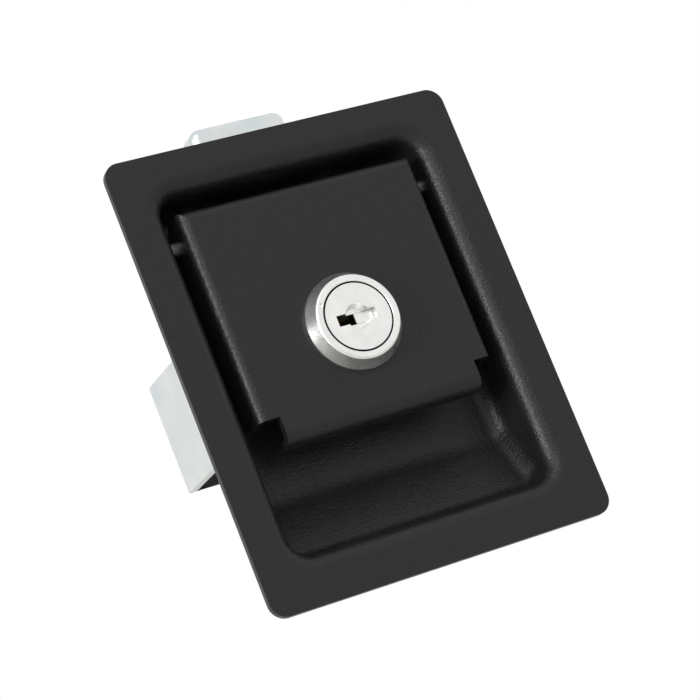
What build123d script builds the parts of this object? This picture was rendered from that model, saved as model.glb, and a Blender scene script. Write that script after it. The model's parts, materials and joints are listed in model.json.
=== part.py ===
"""Flush paddle latch: a pressed dish, a paddle on a cross pin with a wafer lock, and a spring bolt.

X runs across the latch, Z runs up towards the bolt, and the front faces -Y.
The origin is the middle of the panel cut-out, in the panel's front face (the back of the flange).
"""

import os
from math import radians, tan

from build123d import *

os.makedirs("parts", exist_ok=True)

# ---- driving dimensions (mm) ----

# dish and flange
flange_width = 68.0
flange_height = 84.0
flange_corner = 3.0
pan_sheet = 1.2
dish_width = 51.8
dish_top = 34.3
dish_bottom = -32.9
dish_depth = 12.0
dish_corner = 4.0
floor_fillet = 3.0
scoop_fillet = 6.0
mouth_fillet = 3.2
scoop_start = -21.0
scoop_angle = 27.5
passage_corner = 2.0
tail_slot_corner = 0.8
cam_room = 1.5

# paddle
paddle_width = 46.8
paddle_top = 30.9
paddle_shoulder = -8.9
paddle_inset = 0.3
paddle_sheet = 1.5
paddle_bend = 1.8
paddle_side_depth = 9.0
paddle_top_depth = 5.9
paddle_side_taper = 14.0
paddle_side_narrowing = 2.6
paddle_side_corner = 2.0
tongue_width = 39.0
tongue_end = -14.2
tongue_curl = 2.6
tongue_lip = 3.4
tail_width = 9.0
tail_reach = 10.5
tail_slot = 8.2

# hinge pin
pin_diameter = 3.0
pin_depth = 4.1
pin_height = 25.8
pin_head = 4.2
pin_head_height = 1.1

# bolt, its guide and its spring
bolt_width = 19.2
bolt_sheet = 1.5
bolt_depth = 9.5
bolt_top = 49.9
bolt_bottom = 21.0
bolt_corner = 2.2
bolt_bend = 1.6
bolt_tip_depth = 3.2
lip_length = 2.3
lip_bend = 1.2
seat_height = 39.0
guide_sheet = 1.2
guide_bottom = 14.5
guide_top = 31.0
guide_foot = 6.5
guide_foot_corner = 1.5
guide_window_corner = 0.8
rivet_diameter = 3.0
rivet_head = 5.2
rivet_head_height = 0.7
rivet_head_slope = 0.5
rivet_inset = 3.4
spring_diameter = 4.6
spring_wire = 0.7
spring_room = 0.8
spring_seat_width = 9.2
spring_seat_edge = 0.3

# lock
lock_height = 3.6
bezel_base = 18.0
bezel_front = 15.5
bezel_height = 3.3
bezel_skirt = 0.8
bezel_rim = 0.5
bore_chamfer = 0.2
index_dot = 0.7
index_dot_depth = 0.3
index_dot_angle = 149
barrel_diameter = 16.0
barrel_flats = 14.4
plug_diameter = 12.7
plug_tail = 8.0
plug_square = 6.0
key_slot_width = 7.6
key_slot_height = 2.0
key_slot_end = 2.0
key_slot_shift = -0.3
key_dish = 4.8
key_dish_depth = 1.4
key_dish_taper = 20
shutter_width = 3.6
shutter_sheet = 0.5
plug_inset = 0.1
barrel_wall_back = 1.8
lock_nut_across = 20.0
lock_nut_height = 2.6
lock_washer_diameter = 20.5
lock_washer_height = 0.7
lock_washer_notches = 12
lock_washer_notch_length = 1.6
lock_washer_notch_width = 1.2
cam_reach = 12.0
cam_width = 8.0
cam_sheet = 1.5
cam_gap = 0.4
cam_hub = 11.0
cam_washer_diameter = 9.0
cam_washer_height = 0.9
cam_screw_diameter = 4.0
cam_screw_length = 5.0
cam_screw_head = 8.0
cam_screw_head_height = 2.4
cam_screw_crown = 0.9
cam_screw_cross = 4.4
cam_screw_cross_width = 0.9
cam_screw_cross_depth = 1.4
lock_passage = 0.75
wafer_count = 5
plug_end_wall = 2.6
wafer_pitch = 1.9
wafer_sheet = 0.8
wafer_width = 5.6
wafer_channel = 0.6
wafer_notch = 0.9
wafer_rim = 0.5
wafer_spring_length = 3.0

# clamp strap, studs and nuts
panel_thickness = 2.0
strap_span = 62.0
strap_sheet = 1.5
strap_bend = 2.6
strap_back = 25.0
strap_end_corner = 1.2
strap_hole = 4.5
strap_width = 20.2
strap_height = -2.5
stud_diameter = 4.0
stud_spacing = 34.0
stud_length = 17.5
stud_base = 5.6
stud_base_height = 0.8
stud_chamfer = 0.5
nut_across = 7.0
nut_height = 3.2
nut_round = 7.84
washer_diameter = 7.6
washer_height = 0.9
washer_split = 0.5

# clearances
running_fit = 0.05
hole_fit = 0.03
bolt_play = 0.2
slot_play = 0.4
floor_play = 0.2
contact_gap = 0.05
washer_fit = 0.1
spring_clearance = 0.2

# how far a cut runs past the faces it opens
past = 1.0

# ---- sizes worked out from them ----

flange_front = -pan_sheet
dish_floor = dish_depth - pan_sheet
floor_back = dish_floor + pan_sheet
dish_half = dish_width / 2
wall_outside = dish_half + pan_sheet
paddle_face = flange_front + paddle_inset
paddle_back = paddle_face + paddle_sheet
paddle_half = paddle_width / 2
tail_bottom = paddle_top - paddle_sheet
tail_middle = paddle_top - paddle_sheet / 2
tip_depth = pin_depth + tail_reach
bolt_front = floor_back + floor_play
bolt_inside = bolt_front + bolt_sheet
bolt_back = bolt_front + bolt_depth
bolt_half = bolt_width / 2
lip_top = tail_bottom - contact_gap
lip_end = bolt_inside + lip_length
window_half = tail_width / 2 + slot_play
guide_half = bolt_half + bolt_play
guide_inside = bolt_back + bolt_play
guide_outside = guide_inside + guide_sheet
spring_seat = guide_bottom + guide_sheet
spring_depth = lip_end + spring_room + spring_diameter / 2
rivet_across = guide_half + guide_sheet + guide_foot / 2
barrel_end = floor_back + cam_gap
bezel_top = paddle_face - bezel_height
plug_front = bezel_top + plug_inset
bore_end = barrel_end - barrel_wall_back
plug_shoulder = bore_end - plug_inset
cam_front = barrel_end + cam_gap / 2
cam_back = cam_front + cam_sheet
cam_washer_back = cam_back + cam_washer_height
strap_front = panel_thickness + contact_gap
strap_outside = strap_back - pan_sheet
strap_inside = strap_outside - strap_sheet
washer_back = strap_outside + washer_height
lock_axis = Axis((0, 0, lock_height), (0, 1, 0))


def front_plane(depth):
    """Plane across the latch at this depth, facing the front."""
    return Plane.XZ.offset(-depth)


def inner_edges(part, depth):
    """Edges that lie at one depth and well inside the flange's outline."""
    return part.edges().filter_by_position(Axis.Y, depth - 0.01, depth + 0.01).filter_by(
        lambda e: abs(e.center().X) < flange_width / 2 - flange_corner
        and abs(e.center().Z) < flange_height / 2 - flange_corner
    )


def edges_along(part, axis, depth=None, height=None):
    """Straight edges along an axis, at a depth or a height or both."""
    found = part.edges().filter_by(axis)
    if depth is not None:
        found = found.filter_by_position(Axis.Y, depth - 0.01, depth + 0.01)
    if height is not None:
        found = found.filter_by_position(Axis.Z, height - 0.01, height + 0.01)
    return found


def finish(part, name):
    part.label = name
    export_step(part, f"parts/{name}.step")
    print(f"{name:18} {len(part.solids())} solids {part.volume:10.2f} mm3")


# ---- pan: a drawn dish with a scooped lower end, and the flange round it ----

def dish_form(grow):
    """The hollow of the dish; grown by the sheet it is the outside."""
    scoop_rise = (scoop_start - dish_bottom) * tan(radians(scoop_angle))
    with BuildPart() as form:
        with BuildSketch(Plane.YZ):
            with BuildLine():
                Polyline(
                    (flange_front, dish_bottom),
                    (flange_front, dish_top),
                    (dish_floor, dish_top),
                    (dish_floor, scoop_start),
                    (dish_floor - scoop_rise, dish_bottom),
                    close=True,
                )
            make_face()
            if grow > 0:
                offset(amount=grow, kind=Kind.INTERSECTION)
        extrude(amount=dish_half + grow, both=True)
        fillet(form.edges().filter_by(Axis.Y), dish_corner + grow)
        crease = form.edges().filter_by(Axis.X).filter_by(
            lambda e: dish_bottom + 1 < e.center().Z < dish_top - 1
        )
        fillet(crease, scoop_fillet - grow)
        rim = form.edges().filter_by(
            lambda e: e.center().Y > 0
            and e not in form.edges().filter_by(Axis.Y)
            and (abs(e.center().X) > 1 or not dish_bottom + 1 < e.center().Z < dish_top - 1)
        )
        fillet(rim, floor_fillet + grow)
    return form.part


with BuildPart() as pan:
    with BuildSketch(front_plane(0)):
        RectangleRounded(flange_width, flange_height, flange_corner)
    extrude(amount=pan_sheet)
    add(dish_form(pan_sheet))
    split(bisect_by=front_plane(flange_front), keep=Keep.BOTTOM)
    fillet(inner_edges(pan, 0), mouth_fillet - pan_sheet)
    add(dish_form(0), mode=Mode.SUBTRACT)
    fillet(inner_edges(pan, flange_front), mouth_fillet)

    # openings in the dish floor: the lock's passage with room for its cam, and the tail's slot
    with BuildSketch(front_plane(floor_back + past)):
        with Locations((0, lock_height)):
            Circle(barrel_diameter / 2 + lock_passage)
        cam_low = lock_height - cam_reach - cam_room
        with Locations((0, (lock_height + cam_low) / 2)):
            RectangleRounded(cam_width + 2 * lock_passage, lock_height - cam_low, passage_corner)
        slot_top = paddle_top + slot_play
        slot_low = slot_top - tail_slot
        with Locations((0, (slot_top + slot_low) / 2)):
            RectangleRounded(tail_width + 2 * slot_play, tail_slot, tail_slot_corner)
        with Locations(*[(x, z) for x in (-rivet_across, rivet_across)
                         for z in (guide_bottom + rivet_inset, guide_top - rivet_inset)]):
            Circle(rivet_diameter / 2 + hole_fit)
    extrude(amount=pan_sheet + 2 * past, mode=Mode.SUBTRACT)

    # holes for the hinge pin through both side walls
    with BuildSketch(Plane.YZ):
        with Locations((pin_depth, pin_height)):
            Circle(pin_diameter / 2 + hole_fit)
    extrude(amount=flange_width, both=True, mode=Mode.SUBTRACT)
finish(pan.part, "pan")


# ---- hinge pin, headed outside both walls ----

with BuildPart() as hinge_pin:
    with BuildSketch(Plane.YZ):
        with Locations((pin_depth, pin_height)):
            Circle(pin_diameter / 2)
    extrude(amount=wall_outside, both=True)
    for side in (1, -1):
        with BuildSketch(Plane.YZ.offset(side * wall_outside)):
            with Locations((pin_depth, pin_height)):
                Circle(pin_head / 2)
        extrude(amount=side * pin_head_height)
    heads = hinge_pin.edges().filter_by(GeomType.CIRCLE).group_by(Axis.X)
    fillet(heads[0] + heads[-1], pin_head_height * 0.6)
finish(hinge_pin.part, "hinge_pin")


# ---- paddle: folded sheet with side flanges, a top flange, a curled tongue and a drive tail ----

with BuildPart() as paddle:
    side_back = paddle_face + paddle_side_depth
    top_back = paddle_face + paddle_top_depth
    with BuildSketch(Plane.YZ) as side_view:
        with BuildLine():
            Polyline(
                (paddle_face, paddle_shoulder),
                (paddle_face, paddle_top),
                (top_back, paddle_top),
                (side_back, paddle_top - paddle_side_depth + paddle_top_depth),
                (side_back, pin_height - paddle_side_taper),
                (side_back - paddle_side_narrowing, paddle_shoulder),
                close=True,
            )
        make_face()
        back_corners = side_view.vertices().group_by(Axis.X)[-1]
        fillet(back_corners, paddle_side_corner)
    extrude(amount=paddle_half, both=True)
    fillet(
        edges_along(paddle, Axis.Z, depth=paddle_face)
        + edges_along(paddle, Axis.X, depth=paddle_face, height=paddle_top),
        paddle_bend,
    )
    with BuildSketch(front_plane(paddle_back)):
        hollow_low = paddle_shoulder - past
        with Locations((0, (tail_bottom + hollow_low) / 2)):
            Rectangle(paddle_width - 2 * paddle_sheet, tail_bottom - hollow_low)
    extrude(amount=-2 * paddle_side_depth, mode=Mode.SUBTRACT)

    # tongue, its end curled back for the fingers
    with BuildSketch(Plane.YZ) as tongue_view:
        root = paddle_shoulder + paddle_sheet
        with BuildLine():
            Polyline(
                (paddle_face, root),
                (paddle_face, tongue_end),
                (paddle_face + tongue_lip, tongue_end),
                (paddle_face + tongue_lip, tongue_end + paddle_sheet),
                (paddle_back, tongue_end + paddle_sheet),
                (paddle_back, root),
                close=True,
            )
        make_face()
        low = tongue_view.vertices().group_by(Axis.Y)
        fillet(low[0].sort_by(Axis.X)[0], tongue_curl)
        fillet(tongue_view.vertices().group_by(Axis.Y)[-2].sort_by(Axis.X)[0], tongue_curl - paddle_sheet)
    extrude(amount=tongue_width / 2, both=True)

    # drive tail in line with the top flange, its tip fully rounded
    with BuildSketch(Plane.XY.offset(tail_bottom)):
        tail_root = top_back - paddle_sheet
        with Locations((0, (tail_root + tip_depth) / 2)):
            Rectangle(tail_width, tip_depth - tail_root)
    extrude(amount=paddle_sheet)
    with BuildSketch(Plane.YZ):
        with Locations((tip_depth, tail_middle)):
            Circle(paddle_sheet / 2)
    extrude(amount=tail_width / 2, both=True)

    # hinge holes, and the flatted hole that keeps the lock from turning
    with BuildSketch(Plane.YZ):
        with Locations((pin_depth, pin_height)):
            Circle(pin_diameter / 2 + running_fit)
    extrude(amount=flange_width, both=True, mode=Mode.SUBTRACT)
    with BuildSketch(front_plane(paddle_back + past)):
        with Locations((0, lock_height)):
            Circle(barrel_diameter / 2 + hole_fit)
            Rectangle(2 * barrel_diameter, barrel_flats + 2 * hole_fit, mode=Mode.INTERSECT)
    extrude(amount=paddle_sheet + 2 * past, mode=Mode.SUBTRACT)
finish(paddle.part, "paddle")


# ---- lock ----

with BuildPart() as lock_housing:
    with BuildSketch(Plane.YZ):
        base = lock_height + bezel_base / 2
        bore = lock_height + plug_diameter / 2 + running_fit
        tail_bore = lock_height + plug_tail / 2 + running_fit
        with BuildLine():
            Polyline(
                (paddle_face, base),
                (paddle_face - bezel_skirt, base),
                (bezel_top, lock_height + bezel_front / 2),
                (bezel_top, bore),
                (bore_end, bore),
                (bore_end, tail_bore),
                (barrel_end, tail_bore),
                (barrel_end, lock_height + barrel_diameter / 2),
                (paddle_face, lock_height + barrel_diameter / 2),
                close=True,
            )
        make_face()
    revolve(axis=lock_axis)
    rims = lock_housing.edges().filter_by(GeomType.CIRCLE).group_by(Axis.Y)[0]
    fillet(rims.sort_by(lambda e: e.radius)[-1], bezel_rim)
    chamfer(rims.sort_by(lambda e: e.radius)[0], bore_chamfer)

    # flats above and below, wafer channels at both sides of the bore, index dot on the bezel
    with BuildSketch(front_plane(barrel_end)):
        for side in (1, -1):
            with Locations((0, lock_height + side * barrel_flats)):
                Rectangle(barrel_diameter + 2 * past, barrel_flats)
    extrude(amount=barrel_end - paddle_face, mode=Mode.SUBTRACT)
    with BuildSketch(front_plane(bore_end)):
        with Locations((0, lock_height)):
            Rectangle(plug_diameter + 2 * wafer_channel, wafer_width + 4 * running_fit)
    extrude(amount=bore_end - paddle_face, mode=Mode.SUBTRACT)
    with BuildSketch(front_plane(bezel_top + index_dot_depth)):
        with Locations((0, lock_height)):
            with PolarLocations((bezel_front + plug_diameter) / 4, 1, start_angle=index_dot_angle):
                Circle(index_dot / 2)
    extrude(amount=index_dot_depth + past, mode=Mode.SUBTRACT)
finish(lock_housing.part, "lock_housing")


with BuildPart() as lock_nut_washer:
    with BuildSketch(front_plane(paddle_back + lock_washer_height)):
        with Locations((0, lock_height)):
            Circle(lock_washer_diameter / 2)
            Circle(barrel_diameter / 2 + washer_fit, mode=Mode.SUBTRACT)
            with PolarLocations(lock_washer_diameter / 2, lock_washer_notches):
                Rectangle(lock_washer_notch_length, lock_washer_notch_width, mode=Mode.SUBTRACT)
    extrude(amount=lock_washer_height)
finish(lock_nut_washer.part, "lock_nut_washer")


with BuildPart() as lock_nut:
    with BuildSketch(front_plane(paddle_back + lock_washer_height + lock_nut_height)):
        with Locations((0, lock_height)):
            RegularPolygon(lock_nut_across / 2, 6, major_radius=False)
            Circle(barrel_diameter / 2 + hole_fit, mode=Mode.SUBTRACT)
    extrude(amount=lock_nut_height)
finish(lock_nut.part, "lock_nut")


def wafer_depths():
    last = plug_shoulder - plug_end_wall
    return [last - i * wafer_pitch for i in range(wafer_count)]


with BuildPart() as lock_plug:
    with BuildSketch(Plane.YZ):
        with BuildLine():
            Polyline(
                (plug_front, lock_height),
                (plug_front, lock_height + plug_diameter / 2),
                (plug_shoulder, lock_height + plug_diameter / 2),
                (plug_shoulder, lock_height + plug_tail / 2),
                (cam_front, lock_height + plug_tail / 2),
                (cam_front, lock_height),
                close=True,
            )
        make_face()
    revolve(axis=lock_axis)
    with BuildSketch(front_plane(cam_back - contact_gap)):
        with Locations((0, lock_height)):
            Rectangle(plug_square, plug_square)
    extrude(amount=cam_sheet)

    # key slot with a dished guide round it, wafer slots, and the thread for the cam screw
    key_axis = Plane(origin=(0, plug_front, lock_height), x_dir=(1, 0, 0), z_dir=(0, -1, 0))
    with BuildSketch(key_axis):
        with Locations((key_slot_shift, 0)):
            Rectangle(key_slot_width, key_slot_height)
    extrude(amount=-(plug_shoulder - plug_front - key_slot_end), mode=Mode.SUBTRACT)
    with BuildSketch(key_axis):
        Circle(key_dish / 2)
    extrude(amount=-key_dish_depth, taper=key_dish_taper, mode=Mode.SUBTRACT)
    for depth in wafer_depths():
        with BuildSketch(front_plane(depth + wafer_sheet / 2 + running_fit)):
            with Locations((0, lock_height)):
                Rectangle(plug_diameter + 2 * past, wafer_width + 2 * running_fit)
        extrude(amount=wafer_sheet + 2 * running_fit, mode=Mode.SUBTRACT)
    with BuildSketch(front_plane(cam_back)):
        with Locations((0, lock_height)):
            Circle(cam_screw_diameter / 2 + hole_fit)
    extrude(amount=cam_screw_length, mode=Mode.SUBTRACT)
finish(lock_plug.part, "lock_plug")


with BuildPart() as dust_shutter:
    with BuildSketch(key_axis.offset(-key_dish_depth)):
        slot_right = key_slot_shift + key_slot_width / 2
        with Locations((slot_right - running_fit - shutter_width / 2, 0)):
            Rectangle(shutter_width, key_slot_height - 2 * running_fit)
    extrude(amount=-shutter_sheet)
finish(dust_shutter.part, "dust_shutter")


with BuildPart() as wafers:
    for depth in wafer_depths():
        with BuildSketch(front_plane(depth + wafer_sheet / 2)):
            with Locations((0, lock_height)):
                Circle(plug_diameter / 2 - running_fit)
                Rectangle(plug_diameter, wafer_width, mode=Mode.INTERSECT)
                with Locations((key_slot_shift, 0)):
                    Rectangle(key_slot_width - 2 * wafer_rim, key_slot_height - 4 * running_fit, mode=Mode.SUBTRACT)
                with Locations((0, wafer_width / 2)):
                    Rectangle(wafer_spring_length, 2 * wafer_notch, mode=Mode.SUBTRACT)
        extrude(amount=wafer_sheet)
finish(wafers.part, "wafers")


with BuildPart() as wafer_springs:
    for depth in wafer_depths():
        spring_line = lock_height + wafer_width / 2 - wafer_notch / 2
        with BuildSketch(Plane.YZ):
            with Locations((depth, spring_line)):
                Circle(wafer_notch / 2 - running_fit)
        extrude(amount=wafer_spring_length / 2 - running_fit, both=True)
finish(wafer_springs.part, "wafer_springs")


with BuildPart() as lock_cam:
    with BuildSketch(front_plane(cam_back)):
        with Locations((0, lock_height)):
            Circle(cam_hub / 2)
            with Locations((0, -(cam_reach - cam_width / 2) / 2)):
                Rectangle(cam_width, cam_reach - cam_width / 2)
            with Locations((0, -(cam_reach - cam_width / 2))):
                Circle(cam_width / 2)
            Rectangle(plug_square + 2 * hole_fit, plug_square + 2 * hole_fit, mode=Mode.SUBTRACT)
    extrude(amount=cam_sheet)
finish(lock_cam.part, "lock_cam")


with BuildPart() as cam_washer:
    with BuildSketch(front_plane(cam_washer_back)):
        with Locations((0, lock_height)):
            Circle(cam_washer_diameter / 2)
            Circle(cam_screw_diameter / 2 + washer_fit, mode=Mode.SUBTRACT)
            with Locations((cam_washer_diameter / 4, 0)):
                Rectangle(cam_washer_diameter / 2 + past, washer_split, mode=Mode.SUBTRACT)
    extrude(amount=cam_washer_height)
finish(cam_washer.part, "cam_washer")


with BuildPart() as cam_screw:
    with BuildSketch(front_plane(cam_washer_back + cam_screw_head_height)):
        with Locations((0, lock_height)):
            Circle(cam_screw_head / 2)
    extrude(amount=cam_screw_head_height)
    fillet(cam_screw.edges().group_by(Axis.Y)[-1], cam_screw_crown)
    with BuildSketch(front_plane(cam_washer_back)):
        with Locations((0, lock_height)):
            Circle(cam_screw_diameter / 2)
    extrude(amount=cam_washer_height + cam_screw_length - past)
    with BuildSketch(front_plane(cam_washer_back + cam_screw_head_height)):
        with Locations((0, lock_height)):
            Rectangle(cam_screw_cross, cam_screw_cross_width)
            Rectangle(cam_screw_cross_width, cam_screw_cross)
    extrude(amount=cam_screw_cross_depth, mode=Mode.SUBTRACT)
finish(cam_screw.part, "cam_screw")


# ---- bolt: a folded channel with a closed ramp at its nose ----

with BuildPart() as bolt:
    ramp_low = bolt_top - (bolt_depth - bolt_tip_depth)
    with BuildSketch(Plane.YZ):
        with BuildLine():
            Polyline(
                (bolt_front, bolt_bottom),
                (bolt_front, bolt_top),
                (bolt_front + bolt_tip_depth, bolt_top),
                (bolt_back, ramp_low),
                (bolt_back, bolt_bottom),
                close=True,
            )
        make_face()
    extrude(amount=bolt_half, both=True)
    fillet(edges_along(bolt, Axis.Y, height=bolt_top), bolt_corner)
    nose = bolt.faces().sort_by(Axis.Y)[0].outer_wire().edges()
    fillet(nose.filter_by(lambda e: e.center().Z > bolt_bottom + past), bolt_bend)
    ramp_offset = bolt_sheet * (2 ** 0.5)
    with BuildSketch(Plane.YZ):
        with BuildLine():
            Polyline(
                (bolt_inside, bolt_bottom - past),
                (bolt_inside, bolt_top - bolt_sheet),
                (bolt_front + bolt_tip_depth - ramp_offset + bolt_sheet, bolt_top - bolt_sheet),
                (bolt_back + past, ramp_low - ramp_offset - past),
                (bolt_back + past, bolt_bottom - past),
                close=True,
            )
        make_face()
    extrude(amount=bolt_half - bolt_sheet, both=True, mode=Mode.SUBTRACT)

    # window with its two edges folded back: the lip that the tail pushes, and the spring's seat
    with BuildSketch(front_plane(bolt_inside)):
        with Locations((0, (lip_top + seat_height) / 2)):
            Rectangle(2 * window_half, seat_height - lip_top)
    extrude(amount=2 * bolt_sheet, mode=Mode.SUBTRACT)
    fold_start = (bolt_front + bolt_inside) / 2
    seat_end = spring_depth + spring_diameter / 2 + spring_clearance
    with BuildSketch(Plane.YZ):
        with Locations(((fold_start + lip_end) / 2, lip_top - bolt_sheet / 2)):
            Rectangle(lip_end - fold_start, bolt_sheet)
        with Locations(((fold_start + seat_end) / 2, seat_height + bolt_sheet / 2)):
            Rectangle(seat_end - fold_start, bolt_sheet)
    extrude(amount=window_half, both=True)
    for height in (lip_top, seat_height):
        fillet(edges_along(bolt, Axis.X, depth=bolt_front, height=height), lip_bend)
finish(bolt.part, "bolt")


# ---- bolt guide, its rivets and the bolt spring ----

with BuildPart() as bolt_guide:
    with BuildSketch(Plane.XY.offset(guide_bottom)) as hat:
        hat_half = guide_half + guide_sheet
        with Locations((0, (floor_back + guide_outside) / 2)):
            Rectangle(2 * hat_half, guide_outside - floor_back)
        back_corners = hat.vertices().group_by(Axis.Y)[-1]
        fillet(back_corners, 2 * guide_sheet)
        with Locations((0, floor_back + guide_sheet / 2)):
            Rectangle(2 * (hat_half + guide_foot), guide_sheet)
        with Locations((0, (floor_back - past + guide_inside) / 2)):
            Rectangle(2 * guide_half, guide_inside - floor_back + past, mode=Mode.SUBTRACT)
    extrude(amount=guide_top - guide_bottom)
    feet = bolt_guide.edges().filter_by(Axis.Y).filter_by(
        lambda e: abs(e.center().X) > rivet_across
    )
    fillet(feet, guide_foot_corner)

    # spring seat folded in from the back web, leaving its window above it
    seat_front = spring_depth - spring_diameter / 2 - spring_seat_edge
    seat_length = guide_inside - seat_front
    with BuildSketch(front_plane(guide_outside + past)):
        with Locations((0, spring_seat + seat_length / 2)):
            RectangleRounded(spring_seat_width, seat_length, guide_window_corner)
    extrude(amount=guide_sheet + 2 * past, mode=Mode.SUBTRACT)
    with BuildSketch(Plane.XY.offset(guide_bottom)):
        with Locations((0, (seat_front + guide_inside + guide_sheet / 2) / 2)):
            Rectangle(spring_seat_width, guide_inside + guide_sheet / 2 - seat_front)
    extrude(amount=guide_sheet)
    with BuildSketch(front_plane(floor_back + guide_sheet + past)):
        with Locations(*[(x, z) for x in (-rivet_across, rivet_across)
                         for z in (guide_bottom + rivet_inset, guide_top - rivet_inset)]):
            Circle(rivet_diameter / 2 + hole_fit)
    extrude(amount=guide_sheet + 2 * past, mode=Mode.SUBTRACT)
finish(bolt_guide.part, "bolt_guide")


with BuildPart() as guide_rivets:
    rivet_back = floor_back + guide_sheet
    with BuildSketch(Plane.XY) as rivet_profile:
        with BuildLine():
            Polyline(
                (0, dish_floor - rivet_head_height),
                (rivet_head / 2 - rivet_head_slope, dish_floor - rivet_head_height),
                (rivet_head / 2, dish_floor),
                (rivet_diameter / 2, dish_floor),
                (rivet_diameter / 2, rivet_back),
                (rivet_head / 2, rivet_back),
                (rivet_head / 2 - rivet_head_slope, rivet_back + rivet_head_height),
                (0, rivet_back + rivet_head_height),
                close=True,
            )
        make_face()
    rivet = revolve(rivet_profile.sketch, axis=Axis.Y, mode=Mode.PRIVATE)
    for x in (-rivet_across, rivet_across):
        for z in (guide_bottom + rivet_inset, guide_top - rivet_inset):
            add(Pos(x, 0, z) * rivet)
finish(guide_rivets.part, "guide_rivets")


with BuildPart() as bolt_spring:
    with BuildSketch(Plane.XY.offset(spring_seat)):
        with Locations((0, spring_depth)):
            Circle(spring_diameter / 2)
            Circle(spring_diameter / 2 - spring_wire, mode=Mode.SUBTRACT)
    extrude(amount=seat_height - spring_seat)
finish(bolt_spring.part, "bolt_spring")


# ---- clamp strap with its welded studs, lock washers and nuts ----

stud_places = [(-stud_spacing / 2, strap_height), (stud_spacing / 2, strap_height)]

with BuildPart() as weld_studs:
    with BuildSketch(front_plane(floor_back)):
        with Locations(*stud_places):
            Circle(stud_base / 2)
    extrude(amount=-stud_base_height)
    with BuildSketch(front_plane(floor_back)):
        with Locations(*stud_places):
            Circle(stud_diameter / 2)
    extrude(amount=-stud_length)
    chamfer(weld_studs.edges().group_by(Axis.Y)[-1], stud_chamfer)
finish(weld_studs.part, "weld_studs")


with BuildPart() as mounting_bracket:
    with BuildSketch(Plane.XY.offset(strap_height)) as strap_view:
        with Locations((0, (strap_front + strap_outside) / 2)):
            Rectangle(strap_span, strap_outside - strap_front)
        fillet(strap_view.vertices().group_by(Axis.Y)[-1], strap_bend)
        with BuildSketch(Plane.XY.offset(strap_height), mode=Mode.SUBTRACT) as strap_hollow:
            with Locations((0, (strap_front - past + strap_inside) / 2)):
                Rectangle(strap_span - 2 * strap_sheet, strap_inside - strap_front + past)
            fillet(strap_hollow.vertices().group_by(Axis.Y)[-1], strap_bend - strap_sheet)
    extrude(amount=strap_width / 2, both=True)
    ends = edges_along(mounting_bracket, Axis.X, depth=strap_front)
    fillet(ends, strap_end_corner)
    with BuildSketch(front_plane(strap_outside + past)):
        with Locations(*stud_places):
            Circle(strap_hole / 2)
    extrude(amount=strap_sheet + 2 * past, mode=Mode.SUBTRACT)
finish(mounting_bracket.part, "mounting_bracket")


with BuildPart() as stud_washers:
    with BuildSketch(front_plane(washer_back)):
        with Locations(*stud_places):
            Circle(washer_diameter / 2)
            Circle(stud_diameter / 2 + washer_fit, mode=Mode.SUBTRACT)
            with Locations((washer_diameter / 4, 0)):
                Rectangle(washer_diameter / 2 + past, washer_split, mode=Mode.SUBTRACT)
    extrude(amount=washer_height)
finish(stud_washers.part, "stud_washers")


with BuildPart() as stud_nuts:
    with BuildSketch(front_plane(washer_back + nut_height)):
        with Locations(*stud_places):
            RegularPolygon(nut_across / 2, 6, major_radius=False)
    extrude(amount=nut_height)
    with BuildSketch(front_plane(washer_back + nut_height)):
        with Locations(*stud_places):
            Circle(nut_round / 2)
    extrude(amount=nut_height, mode=Mode.INTERSECT)
    with BuildSketch(front_plane(washer_back + nut_height)):
        with Locations(*stud_places):
            Circle(stud_diameter / 2 + hole_fit)
    extrude(amount=nut_height, mode=Mode.SUBTRACT)
finish(stud_nuts.part, "stud_nuts")
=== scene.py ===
import bmesh, bpy, json, math
from mathutils import Matrix, Vector


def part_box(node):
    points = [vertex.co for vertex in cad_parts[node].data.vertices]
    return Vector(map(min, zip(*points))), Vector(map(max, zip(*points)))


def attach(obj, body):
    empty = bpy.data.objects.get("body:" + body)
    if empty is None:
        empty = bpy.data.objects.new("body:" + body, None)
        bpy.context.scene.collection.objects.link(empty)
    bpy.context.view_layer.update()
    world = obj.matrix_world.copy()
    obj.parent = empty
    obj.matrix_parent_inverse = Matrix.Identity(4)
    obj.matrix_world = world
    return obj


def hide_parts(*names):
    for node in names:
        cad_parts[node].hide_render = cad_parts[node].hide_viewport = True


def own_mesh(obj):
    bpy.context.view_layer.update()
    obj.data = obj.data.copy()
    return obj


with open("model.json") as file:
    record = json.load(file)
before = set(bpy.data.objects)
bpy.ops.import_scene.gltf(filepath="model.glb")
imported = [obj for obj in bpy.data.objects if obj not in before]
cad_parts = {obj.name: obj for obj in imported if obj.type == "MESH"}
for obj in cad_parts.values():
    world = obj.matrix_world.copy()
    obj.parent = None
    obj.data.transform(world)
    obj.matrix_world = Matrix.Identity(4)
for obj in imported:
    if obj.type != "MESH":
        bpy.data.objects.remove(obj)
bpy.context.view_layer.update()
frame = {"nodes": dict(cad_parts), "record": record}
print("frame loaded")

mm = 0.001


def linear(hexColour):
    parts = [int(hexColour[i:i + 2], 16) / 255 for i in (1, 3, 5)]
    return tuple(c / 12.92 if c <= 0.04045 else ((c + 0.055) / 1.055) ** 2.4 for c in parts) + (1.0,)


def addNode(tree, kind, settings=None, inputs=None, links=None):
    node = tree.nodes.new(kind)
    for name, value in (settings or {}).items():
        setattr(node, name, value)
    for name, value in (inputs or {}).items():
        node.inputs[name].default_value = value
    for name, source in (links or {}).items():
        tree.links.new(source, node.inputs[name])
    return node


def newMaterial(name):
    # a material with its shader and its object coordinates, ready for patterns
    material = bpy.data.materials.new(name)
    material.use_nodes = True
    tree = material.node_tree
    shader = tree.nodes["Principled BSDF"]
    coords = addNode(tree, "ShaderNodeTexCoord").outputs["Object"]
    return material, tree, shader, coords


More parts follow.
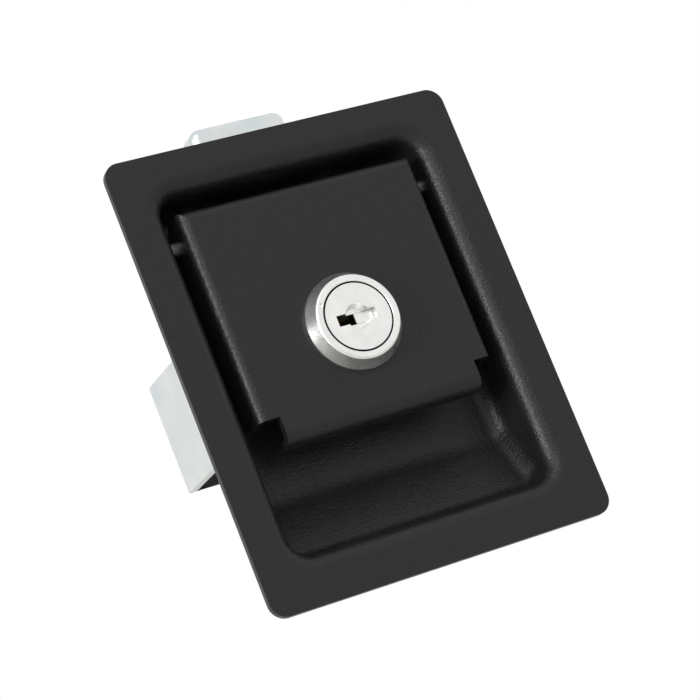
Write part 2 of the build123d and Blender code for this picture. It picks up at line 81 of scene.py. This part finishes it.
def grain(tree, coords, size, detail=2.0, stretch=(1.0, 1.0, 1.0)):
    # noise whose grains are about size metres across
    spread = addNode(tree, "ShaderNodeMapping", inputs={"Scale": stretch}, links={"Vector": coords})
    return addNode(
        tree, "ShaderNodeTexNoise", inputs={"Scale": 1 / size, "Detail": detail},
        links={"Vector": spread.outputs["Vector"]},
    ).outputs["Fac"]


def remap(tree, source, low, high, start=0.3, stop=0.7):
    return addNode(
        tree, "ShaderNodeMapRange",
        inputs={"From Min": start, "From Max": stop, "To Min": low, "To Max": high},
        links={"Value": source},
    ).outputs["Result"]


def blendColours(tree, pattern, first, second):
    source = remap(tree, pattern, 0, 1)
    mix = addNode(tree, "ShaderNodeMix", {"data_type": "RGBA"}, links={"Factor": source})
    mix.inputs[6].default_value = linear(first)
    mix.inputs[7].default_value = linear(second)
    return mix.outputs[2]


def bump(tree, height, distance, strength, under=None):
    links = {"Height": height}
    if under:
        links["Normal"] = under
    return addNode(
        tree, "ShaderNodeBump", inputs={"Distance": distance, "Strength": strength}, links=links,
    ).outputs["Normal"]


# camera, by its place and axes beside the flange's front face
cameraSetup = {
    "aim": (0.0, -0.0012, 0.0),
    "offset": (-0.20604, -0.40616, -0.09955),
    "right": (0.86491, -0.34491, -0.36464),
    "up": (0.24558, -0.34279, 0.90674),
    "lens": 137.85,
    "sensor": 36.0,
    "nearest": 0.01,
    "farthest": 20.0,
}


def makeCamera(setup):
    data = bpy.data.cameras.new("camera")
    data.lens = setup["lens"]
    data.sensor_width = setup["sensor"]
    data.clip_start, data.clip_end = setup["nearest"], setup["farthest"]
    cam = bpy.data.objects.new("camera", data)
    right, up = Vector(setup["right"]).normalized(), Vector(setup["up"]).normalized()
    back = right.cross(up).normalized()
    turn = Matrix((right, up, back)).transposed().to_4x4()
    cam.matrix_world = Matrix.Translation(Vector(setup["aim"]) + Vector(setup["offset"])) @ turn
    bpy.context.collection.objects.link(cam)
    bpy.context.scene.camera = cam


makeCamera(cameraSetup)
print("camera placed")

# studio: a white room, a small box of light low on the left, a soft one in front and one behind
studio = {
    "roomLight": 0.5,
    "seenLight": 1.0,
    "floorHeight": -0.13,
    "floorSize": 4.0,
    "floorColour": "#f0f0ee",
    "floorRoughness": 0.9,
    "lamps": {
        "left box": {"place": (-0.8, -0.3, 0.1), "size": 0.3, "power": 4.5},
        "front box": {"place": (-0.45, -0.85, 0.6), "size": 0.6, "power": 3.5},
        "back box": {"place": (0.4, 0.8, 0.6), "size": 0.6, "power": 3.0},
    },
}


def makeStudio(setup):
    world = bpy.data.worlds.new("white room")
    bpy.context.scene.world = world
    world.use_nodes = True
    tree = world.node_tree
    tree.nodes.clear()
    path = addNode(tree, "ShaderNodeLightPath")
    seen = addNode(
        tree, "ShaderNodeMath", {"operation": "MAXIMUM"},
        links={0: path.outputs["Is Camera Ray"], 1: path.outputs["Is Glossy Ray"]},
    )
    seenToo = addNode(
        tree, "ShaderNodeMath", {"operation": "MAXIMUM"},
        links={0: seen.outputs[0], 1: path.outputs["Is Transmission Ray"]},
    )
    level = remap(tree, seenToo.outputs[0], setup["roomLight"], setup["seenLight"], 0.0, 1.0)
    white = {"Color": (1, 1, 1, 1)}
    room = addNode(tree, "ShaderNodeBackground", inputs=white, links={"Strength": level})
    addNode(tree, "ShaderNodeOutputWorld", links={"Surface": room.outputs[0]})
    for name, lamp in setup["lamps"].items():
        data = bpy.data.lights.new(name, "AREA")
        data.shape = "DISK"
        data.size, data.energy = lamp["size"], lamp["power"]
        box = bpy.data.objects.new(name, data)
        place = Vector(lamp["place"])
        box.matrix_world = Matrix.Translation(place) @ place.to_track_quat("Z", "Y").to_matrix().to_4x4()
        bpy.context.collection.objects.link(box)
    half = setup["floorSize"] / 2
    corners = [(-half, -half), (half, -half), (half, half), (-half, half)]
    mesh = bpy.data.meshes.new("floor")
    mesh.from_pydata([(x, y, setup["floorHeight"]) for x, y in corners], [], [(0, 1, 2, 3)])
    floor = bpy.data.objects.new("floor", mesh)
    bpy.context.collection.objects.link(floor)
    material, _, shader, _ = newMaterial("matt paper sweep")
    shader.inputs["Base Color"].default_value = linear(setup["floorColour"])
    shader.inputs["Roughness"].default_value = setup["floorRoughness"]
    mesh.materials.append(material)


bpy.context.scene.view_settings.view_transform = "Standard"
makeStudio(studio)
print("studio lit")

# polyester powder coat on the pressed sheet: a near-black skin with a fine sandy texture
coat = {
    "dark": "#151514", "light": "#201f1e", "shine": 0.3, "roughness": (0.3, 0.38),
    "grainSize": 0.42 * mm, "grainHeight": 0.14 * mm, "grainRelief": 0.8,
    "orangePeel": 4.0 * mm, "peelHeight": 0.04 * mm, "peelRelief": 0.5,
}


def finePowderCoat(look):
    material, tree, shader, coords = newMaterial("fine textured powder coat")
    speck = grain(tree, coords, look["grainSize"], 3.0)
    cloud = grain(tree, coords, look["orangePeel"], 2.0)
    shader.inputs["Specular IOR Level"].default_value = look["shine"]
    skin = blendColours(tree, speck, look["dark"], look["light"])
    peel = bump(tree, cloud, look["peelHeight"], look["peelRelief"])
    sand = bump(tree, speck, look["grainHeight"], look["grainRelief"], peel)
    tree.links.new(skin, shader.inputs["Base Color"])
    tree.links.new(remap(tree, cloud, *look["roughness"]), shader.inputs["Roughness"])
    tree.links.new(sand, shader.inputs["Normal"])
    return material


# blue-white zinc plating on cold-rolled steel: bright, faintly clouded, with rolling lines
zinc = {
    "blue": "#ccd4d7", "warm": "#dee0dc", "roughness": (0.26, 0.4), "cloud": 7.0 * mm,
    "line": 0.25 * mm, "lineStretch": (0.04, 1.0, 1.0), "lineHeight": 0.004 * mm, "lineRelief": 0.5,
}


def zincPlating(look):
    material, tree, shader, coords = newMaterial("blue white zinc plating")
    cloud = grain(tree, coords, look["cloud"], 4.0)
    lines = grain(tree, coords, look["line"], 3.0, look["lineStretch"])
    plating = blendColours(tree, cloud, look["blue"], look["warm"])
    rolled = bump(tree, lines, look["lineHeight"], look["lineRelief"])
    shader.inputs["Metallic"].default_value = 1.0
    tree.links.new(plating, shader.inputs["Base Color"])
    tree.links.new(remap(tree, cloud, *look["roughness"]), shader.inputs["Roughness"])
    tree.links.new(rolled, shader.inputs["Normal"])
    return material


# satin nickel on the turned and die-cast lock: soft white metal with faint rings round the key
nickel = {
    "bright": "#eeeeec", "dull": "#e4e4e2", "roughness": (0.26, 0.32), "cloud": 2.5 * mm,
    "centre": (0.0, 0.0, 0.0036),
    "ringRadian": 0.22 * mm,  # one radian of the wave, so a ring every 1.4 mm
    "ringWobble": 0.6,
    "ringHeight": 0.003 * mm, "ringRelief": 0.4,
    # jointShadow is a painted shadow colour for the thin gap round the plug; joint sets that ring's width
    "jointShadow": "#161615", "plug": 6.35 * mm, "joint": 0.16 * mm,
}
wavePhase = 20  # radians that the wave texture turns in one unit at scale 1


def satinNickel(look):
    material, tree, shader, coords = newMaterial("satin nickel plating")
    centred = addNode(
        tree, "ShaderNodeMapping", {"vector_type": "TEXTURE"},
        {"Location": look["centre"]}, {"Vector": coords},
    ).outputs["Vector"]
    rings = addNode(
        tree, "ShaderNodeTexWave", {"wave_type": "RINGS", "rings_direction": "Y"},
        {"Scale": 1 / look["ringRadian"] / wavePhase, "Distortion": look["ringWobble"], "Detail": 2.0},
        {"Vector": centred},
    ).outputs["Fac"]
    cloud = grain(tree, coords, look["cloud"], 4.0)
    shader.inputs["Metallic"].default_value = 1.0
    # painted shadow in the joint line round the plug: a thin dark ring at the plug's radius, standing in for
    # the shade in the gap between plug and bezel
    flat = addNode(
        tree, "ShaderNodeVectorMath", {"operation": "MULTIPLY"}, {1: (1.0, 0.0, 1.0)}, {0: centred},
    ).outputs[0]
    radius = addNode(tree, "ShaderNodeVectorMath", {"operation": "LENGTH"}, links={0: flat}).outputs["Value"]
    jointShadowMask = addNode(
        tree, "ShaderNodeMath", {"operation": "COMPARE"}, {1: look["plug"], 2: look["joint"]}, {0: radius},
    ).outputs[0]
    metal = blendColours(tree, cloud, look["dull"], look["bright"])
    jointShaded = addNode(tree, "ShaderNodeMix", {"data_type": "RGBA"}, links={"Factor": jointShadowMask})
    tree.links.new(metal, jointShaded.inputs[6])
    jointShaded.inputs[7].default_value = linear(look["jointShadow"])
    tree.links.new(jointShaded.outputs[2], shader.inputs["Base Color"])
    turned = bump(tree, rings, look["ringHeight"], look["ringRelief"])
    tree.links.new(remap(tree, cloud, *look["roughness"]), shader.inputs["Roughness"])
    tree.links.new(turned, shader.inputs["Normal"])
    return material


# stamped brass wafers with old grease: dull yellow in the dark of the slot
brass = {"clean": "#8f7636", "greasy": "#3a3018", "patch": 0.8 * mm, "roughness": (0.55, 0.35)}


def greasyBrass(look):
    material, tree, shader, coords = newMaterial("greasy stamped brass")
    patch = grain(tree, coords, look["patch"], 3.0)
    metal = blendColours(tree, patch, look["greasy"], look["clean"])
    shader.inputs["Metallic"].default_value = 1.0
    tree.links.new(metal, shader.inputs["Base Color"])
    tree.links.new(remap(tree, patch, *look["roughness"]), shader.inputs["Roughness"])
    return material


# drawn steel for the pin and the spring wire: grey metal, drawn lines along its length; the grey is painted
# far darker than bare steel, as painted shade for the pin deep in the dish recess
shadedPinSteel = {
    # both greys are painted shade: the drawn lines are real, the low level stands in for the dark recess
    "dark": "#4c4c4f", "light": "#6d6d70", "roughness": (0.3, 0.42),
    "line": 0.2 * mm, "lineStretch": (0.05, 1.0, 1.0), "lineHeight": 0.003 * mm, "lineRelief": 0.5,
}


def drawnSteel(look):
    material, tree, shader, coords = newMaterial("drawn steel")
    lines = grain(tree, coords, look["line"], 2.0, look["lineStretch"])
    metal = blendColours(tree, lines, look["dark"], look["light"])
    drawn = bump(tree, lines, look["lineHeight"], look["lineRelief"])
    shader.inputs["Metallic"].default_value = 1.0
    tree.links.new(metal, shader.inputs["Base Color"])
    tree.links.new(remap(tree, lines, *look["roughness"]), shader.inputs["Roughness"])
    tree.links.new(drawn, shader.inputs["Normal"])
    return material


finishes = {
    "powder_coat": finePowderCoat(coat),
    "zinc_plate": zincPlating(zinc),
    "satin_nickel": satinNickel(nickel),
    "brass": greasyBrass(brass),
    "bright_pin": drawnSteel(shadedPinSteel),
}
finishes["spring_steel"] = finishes["bright_pin"]  # the springs are wound from the same drawn wire

for part in frame["record"]["subparts"]:
    mesh = frame["nodes"][part["node"]].data
    mesh.materials.clear()
    mesh.materials.append(finishes[part["material_slot"]])


def newTree(name, sizes):
    # a geometry tree with one named input for each size, and an output
    tree = bpy.data.node_groups.new(name, "GeometryNodeTree")
    tree.interface.new_socket("Geometry", in_out="OUTPUT", socket_type="NodeSocketGeometry")
    for size in sizes:
        tree.interface.new_socket(size, in_out="INPUT", socket_type="NodeSocketFloat")
    return tree, addNode(tree, "NodeGroupInput").outputs


def endTree(tree, geometry, material):
    real = addNode(tree, "GeometryNodeRealizeInstances", links={"Geometry": geometry})
    painted = addNode(
        tree, "GeometryNodeSetMaterial", inputs={"Material": material}, links={"Geometry": real.outputs[0]},
    )
    addNode(tree, "NodeGroupOutput", links={"Geometry": painted.outputs[0]})


def bakeTree(name, tree, sizes, body):
    # runs the tree once and keeps its result as a plain mesh that rides on the body
    piece = bpy.data.objects.new(name, bpy.data.meshes.new(name))
    bpy.context.collection.objects.link(piece)
    nodes = piece.modifiers.new("nodes", "NODES")
    nodes.node_group = tree
    for socket in tree.interface.items_tree:
        if socket.in_out == "INPUT":
            nodes[socket.identifier] = sizes[socket.name]
    made = bpy.data.meshes.new_from_object(piece.evaluated_get(bpy.context.evaluated_depsgraph_get()))
    piece.modifiers.remove(nodes)
    piece.data = made
    made.name = name
    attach(piece, body)
    return piece


def sweep(tree, curve, radius, sides):
    # a round wire along a curve, closed at both ends
    profile = addNode(
        tree, "GeometryNodeCurvePrimitiveCircle", inputs={"Resolution": sides}, links={"Radius": radius},
    )
    return addNode(
        tree, "GeometryNodeCurveToMesh", inputs={"Fill Caps": True},
        links={"Curve": curve, "Profile Curve": profile.outputs["Curve"]},
    ).outputs["Mesh"]


# bolt spring: a compression coil with a closed turn at each end
springLow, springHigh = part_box("bolt_spring")
spring = {
    "wire": 0.7 * mm, "turns": 13, "outside": springHigh[0] - springLow[0],
    "length": springHigh[2] - springLow[2], "travel": 7.78 * mm, "turnSteps": 28, "wireSides": 10,
}


def makeBoltSpring(sizes, material):
    wire, turns = sizes["wire"], sizes["turns"]
    values = {
        "turns": float(turns), "radius": (sizes["outside"] - wire) / 2, "height": sizes["length"] - wire,
        "wire radius": wire / 2, "end share": 1 / turns, "end rise": wire / (sizes["length"] - wire),
        "depth": (springLow[1] + springHigh[1]) / 2, "seat": springLow[2] + wire / 2,
    }
    tree, given = newTree("compression coil", values)
    coil = addNode(
        tree, "GeometryNodeCurveSpiral", inputs={"Resolution": sizes["turnSteps"]},
        links={"Rotations": given["turns"], "Start Radius": given["radius"], "End Radius": given["radius"],
               "Height": given["height"]},
    )
    along = addNode(tree, "GeometryNodeSplineParameter").outputs["Factor"]
    topStart = addNode(
        tree, "ShaderNodeMath", {"operation": "SUBTRACT"}, {0: 1.0}, {1: given["end share"]},
    ).outputs[0]
    middleRise = addNode(
        tree, "ShaderNodeMath", {"operation": "MULTIPLY_ADD"}, {1: -2.0, 2: 1.0}, {0: given["end rise"]},
    ).outputs[0]
    # each stretch of the wire rises by its own share: end turn, open coils, end turn
    first = addNode(
        tree, "ShaderNodeMapRange",
        links={"Value": along, "From Max": given["end share"], "To Max": given["end rise"]},
    ).outputs["Result"]
    middle = addNode(
        tree, "ShaderNodeMapRange",
        links={"Value": along, "From Min": given["end share"], "From Max": topStart, "To Max": middleRise},
    ).outputs["Result"]
    last = addNode(
        tree, "ShaderNodeMapRange", links={"Value": along, "From Min": topStart, "To Max": given["end rise"]},
    ).outputs["Result"]
    lower = addNode(tree, "ShaderNodeMath", {"operation": "ADD"}, links={0: first, 1: middle}).outputs[0]
    rise = addNode(tree, "ShaderNodeMath", {"operation": "ADD"}, links={0: lower, 1: last}).outputs[0]
    height = addNode(
        tree, "ShaderNodeMath", {"operation": "MULTIPLY"}, links={0: rise, 1: given["height"]},
    ).outputs[0]
    position = addNode(tree, "GeometryNodeInputPosition").outputs[0]
    where = addNode(tree, "ShaderNodeSeparateXYZ", links={"Vector": position}).outputs
    target = addNode(
        tree, "ShaderNodeCombineXYZ", links={"X": where["X"], "Y": where["Y"], "Z": height},
    ).outputs[0]
    shaped = addNode(
        tree, "GeometryNodeSetPosition", links={"Geometry": coil.outputs["Curve"], "Position": target},
    ).outputs[0]
    place = addNode(tree, "ShaderNodeCombineXYZ", links={"Y": given["depth"], "Z": given["seat"]}).outputs[0]
    swept = sweep(tree, shaped, given["wire radius"], sizes["wireSides"])
    placed = addNode(
        tree, "GeometryNodeTransform", links={"Geometry": swept, "Translation": place},
    ).outputs[0]
    smooth = addNode(tree, "GeometryNodeSetShadeSmooth", links={"Geometry": placed}).outputs[0]
    endTree(tree, smooth, material)
    piece = bakeTree("coil_bolt_spring", tree, values, "dish")
    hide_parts("bolt_spring")
    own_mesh(piece)


makeBoltSpring(spring, finishes["spring_steel"])
print("bolt spring wound")

# weld studs: a flanged base, a core and a rolled thread
studLow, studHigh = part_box("weld_studs")
stud = {
    "outside": 4.0 * mm, "core": 3.25 * mm, "pitch": 0.7 * mm, "base": 5.6 * mm, "baseHeight": 0.8 * mm,
    "tip": 0.5 * mm, "turnSteps": 24, "ridgeSides": 6, "rodSides": 40,
}


def makeWeldStuds(sizes, material):
    length = studHigh[1] - studLow[1]
    threadLength = length - sizes["baseHeight"] - sizes["tip"]
    ridge = (sizes["outside"] - sizes["core"]) / 4
    values = {
        "turns": (threadLength - 2 * ridge) / sizes["pitch"],
        "thread radius": sizes["outside"] / 2 - ridge, "ridge": ridge,
        "thread length": threadLength - 2 * ridge, "core radius": sizes["core"] / 2, "length": length,
        "base radius": sizes["base"] / 2, "base height": sizes["baseHeight"],
        "spacing": studHigh[0] - studLow[0] - sizes["base"], "depth": studLow[1],
        "height": (studLow[2] + studHigh[2]) / 2,
    }
    tree, given = newTree("threaded weld stud", values)
    # the stud stands along Z here, with its base at zero
    coil = addNode(
        tree, "GeometryNodeCurveSpiral", inputs={"Resolution": sizes["turnSteps"]},
        links={"Rotations": given["turns"], "Start Radius": given["thread radius"],
               "End Radius": given["thread radius"], "Height": given["thread length"]},
    )
    threadStart = addNode(
        tree, "ShaderNodeMath", {"operation": "ADD"}, links={0: given["base height"], 1: given["ridge"]},
    ).outputs[0]
    rolled = sweep(tree, coil.outputs["Curve"], given["ridge"], sizes["ridgeSides"])
    lift = addNode(tree, "ShaderNodeCombineXYZ", links={"Z": threadStart}).outputs[0]
    thread = addNode(
        tree, "GeometryNodeTransform", links={"Geometry": rolled, "Translation": lift},
    ).outputs[0]
    rods = []
    for radius, height in (("core radius", "length"), ("base radius", "base height")):
        rod = addNode(
            tree, "GeometryNodeMeshCylinder", inputs={"Vertices": sizes["rodSides"]},
            links={"Radius": given[radius], "Depth": given[height]},
        )
        half = addNode(
            tree, "ShaderNodeMath", {"operation": "MULTIPLY"}, {1: 0.5}, {0: given[height]},
        ).outputs[0]
        lift = addNode(tree, "ShaderNodeCombineXYZ", links={"Z": half}).outputs[0]
        rods.append(addNode(
            tree, "GeometryNodeTransform", links={"Geometry": rod.outputs["Mesh"], "Translation": lift},
        ).outputs[0])
    one = addNode(tree, "GeometryNodeJoinGeometry")
    for geometry in (thread, *rods):
        tree.links.new(geometry, one.inputs["Geometry"])
    lying = addNode(
        tree, "GeometryNodeTransform", inputs={"Rotation": (-math.pi / 2, 0, 0)},
        links={"Geometry": one.outputs[0]},
    ).outputs[0]
    left = addNode(
        tree, "ShaderNodeMath", {"operation": "MULTIPLY"}, {1: -0.5}, {0: given["spacing"]},
    ).outputs[0]
    places = addNode(
        tree, "GeometryNodeMeshLine", inputs={"Count": 2},
        links={
            "Start Location": addNode(
                tree, "ShaderNodeCombineXYZ", links={"X": left, "Y": given["depth"], "Z": given["height"]},
            ).outputs[0],
            "Offset": addNode(tree, "ShaderNodeCombineXYZ", links={"X": given["spacing"]}).outputs[0],
        },
    )
    pair = addNode(
        tree, "GeometryNodeInstanceOnPoints", links={"Points": places.outputs["Mesh"], "Instance": lying},
    ).outputs[0]
    endTree(tree, pair, material)
    piece = bakeTree("threaded_weld_studs", tree, values, "dish")
    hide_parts("weld_studs")


makeWeldStuds(stud, finishes["zinc_plate"])
print("weld studs threaded")

# mounting strap: a strip folded twice, its edges rounded off towards the rear, with two stud holes
strapLow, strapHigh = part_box("mounting_bracket")
strap = {
    "sheet": 1.5 * mm, "bend": 3.0 * mm, "corner": 2.4 * mm, "endCorner": 1.2 * mm, "hole": 4.5 * mm,
    "cornerSteps": 10, "holeSides": 48, "sharpAbove": 30,
}


def roundedOutline(corners, steps):
    # corners as x, y, radius, in order; returns the outline's points
    points = []
    for place, (x, y, radius) in enumerate(corners):
        corner = Vector((x, y))
        before = (Vector(corners[place - 1][:2]) - corner).normalized()
        after = (Vector(corners[(place + 1) % len(corners)][:2]) - corner).normalized()
        if radius == 0:
            points.append(corner)
            continue
        centre = corner + (before + after) * radius
        for step in range(steps + 1):
            turn = step / steps * math.pi / 2
            points.append(centre - after * radius * math.cos(turn) - before * radius * math.sin(turn))
    return points


def ringOutline(x, y, radius, sides):
    turns = [2 * math.pi * side / sides for side in range(sides)]
    return [Vector((x + radius * math.cos(turn), y + radius * math.sin(turn))) for turn in turns]


def prism(name, outline, axis, low, high):
    # a closed solid whose outline lies across the axis
    def spot(point, level):
        spread = list(point)
        spread.insert(axis, level)
        return spread
    count = len(outline)
    spots = [spot(point, level) for level in (low, high) for point in outline]
    sides = [(i, (i + 1) % count, (i + 1) % count + count, i + count) for i in range(count)]
    mesh = bpy.data.meshes.new(name)
    mesh.from_pydata(spots, [], sides + [tuple(range(count))[::-1], tuple(range(count, 2 * count))])
    solid = bmesh.new()
    solid.from_mesh(mesh)
    bmesh.ops.recalc_face_normals(solid, faces=solid.faces)
    solid.to_mesh(mesh)
    solid.free()
    made = bpy.data.objects.new(name, mesh)
    bpy.context.collection.objects.link(made)
    return made


def makeStrap(sizes, material):
    x, front, back, low, high = strapHigh[0], strapLow[1], strapHigh[1], strapLow[2], strapHigh[2]
    sheet, bend = sizes["sheet"], sizes["bend"]
    fold = roundedOutline([
        (-x, front, 0), (-x, back, bend), (x, back, bend), (x, front, 0), (x - sheet, front, 0),
        (x - sheet, back - sheet, bend - sheet), (sheet - x, back - sheet, bend - sheet),
        (sheet - x, front, 0),
    ], sizes["cornerSteps"])
    side = roundedOutline([
        (front, low, sizes["endCorner"]), (front, high, sizes["endCorner"]),
        (back, high, sizes["corner"]), (back, low, sizes["corner"]),
    ], sizes["cornerSteps"])
    piece = prism("folded_strap", fold, 2, low, high)
    tools = [("INTERSECT", prism("strap edge", side, 0, -2 * x, 2 * x))]
    studs = (studHigh[0] - studLow[0] - stud["base"]) / 2
    middle = (studLow[2] + studHigh[2]) / 2
    for across in (-studs, studs):
        ring = ringOutline(across, middle, sizes["hole"] / 2, sizes["holeSides"])
        tools.append(("DIFFERENCE", prism("stud hole", ring, 1, back - 2 * sheet, back + sheet)))
    for action, tool in tools:
        cut = piece.modifiers.new(action, "BOOLEAN")
        cut.operation, cut.object, cut.solver = action, tool, "EXACT"
    made = bpy.data.meshes.new_from_object(piece.evaluated_get(bpy.context.evaluated_depsgraph_get()))
    piece.modifiers.clear()
    piece.data = made
    for _, tool in tools:
        bpy.data.objects.remove(tool)
    made.polygons.foreach_set("use_smooth", [True] * len(made.polygons))
    made.set_sharp_from_angle(angle=math.radians(sizes["sharpAbove"]))
    made.materials.clear()
    made.materials.append(material)
    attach(piece, "dish")
    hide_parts("mounting_bracket")


makeStrap(strap, finishes["zinc_plate"])
print("strap folded")
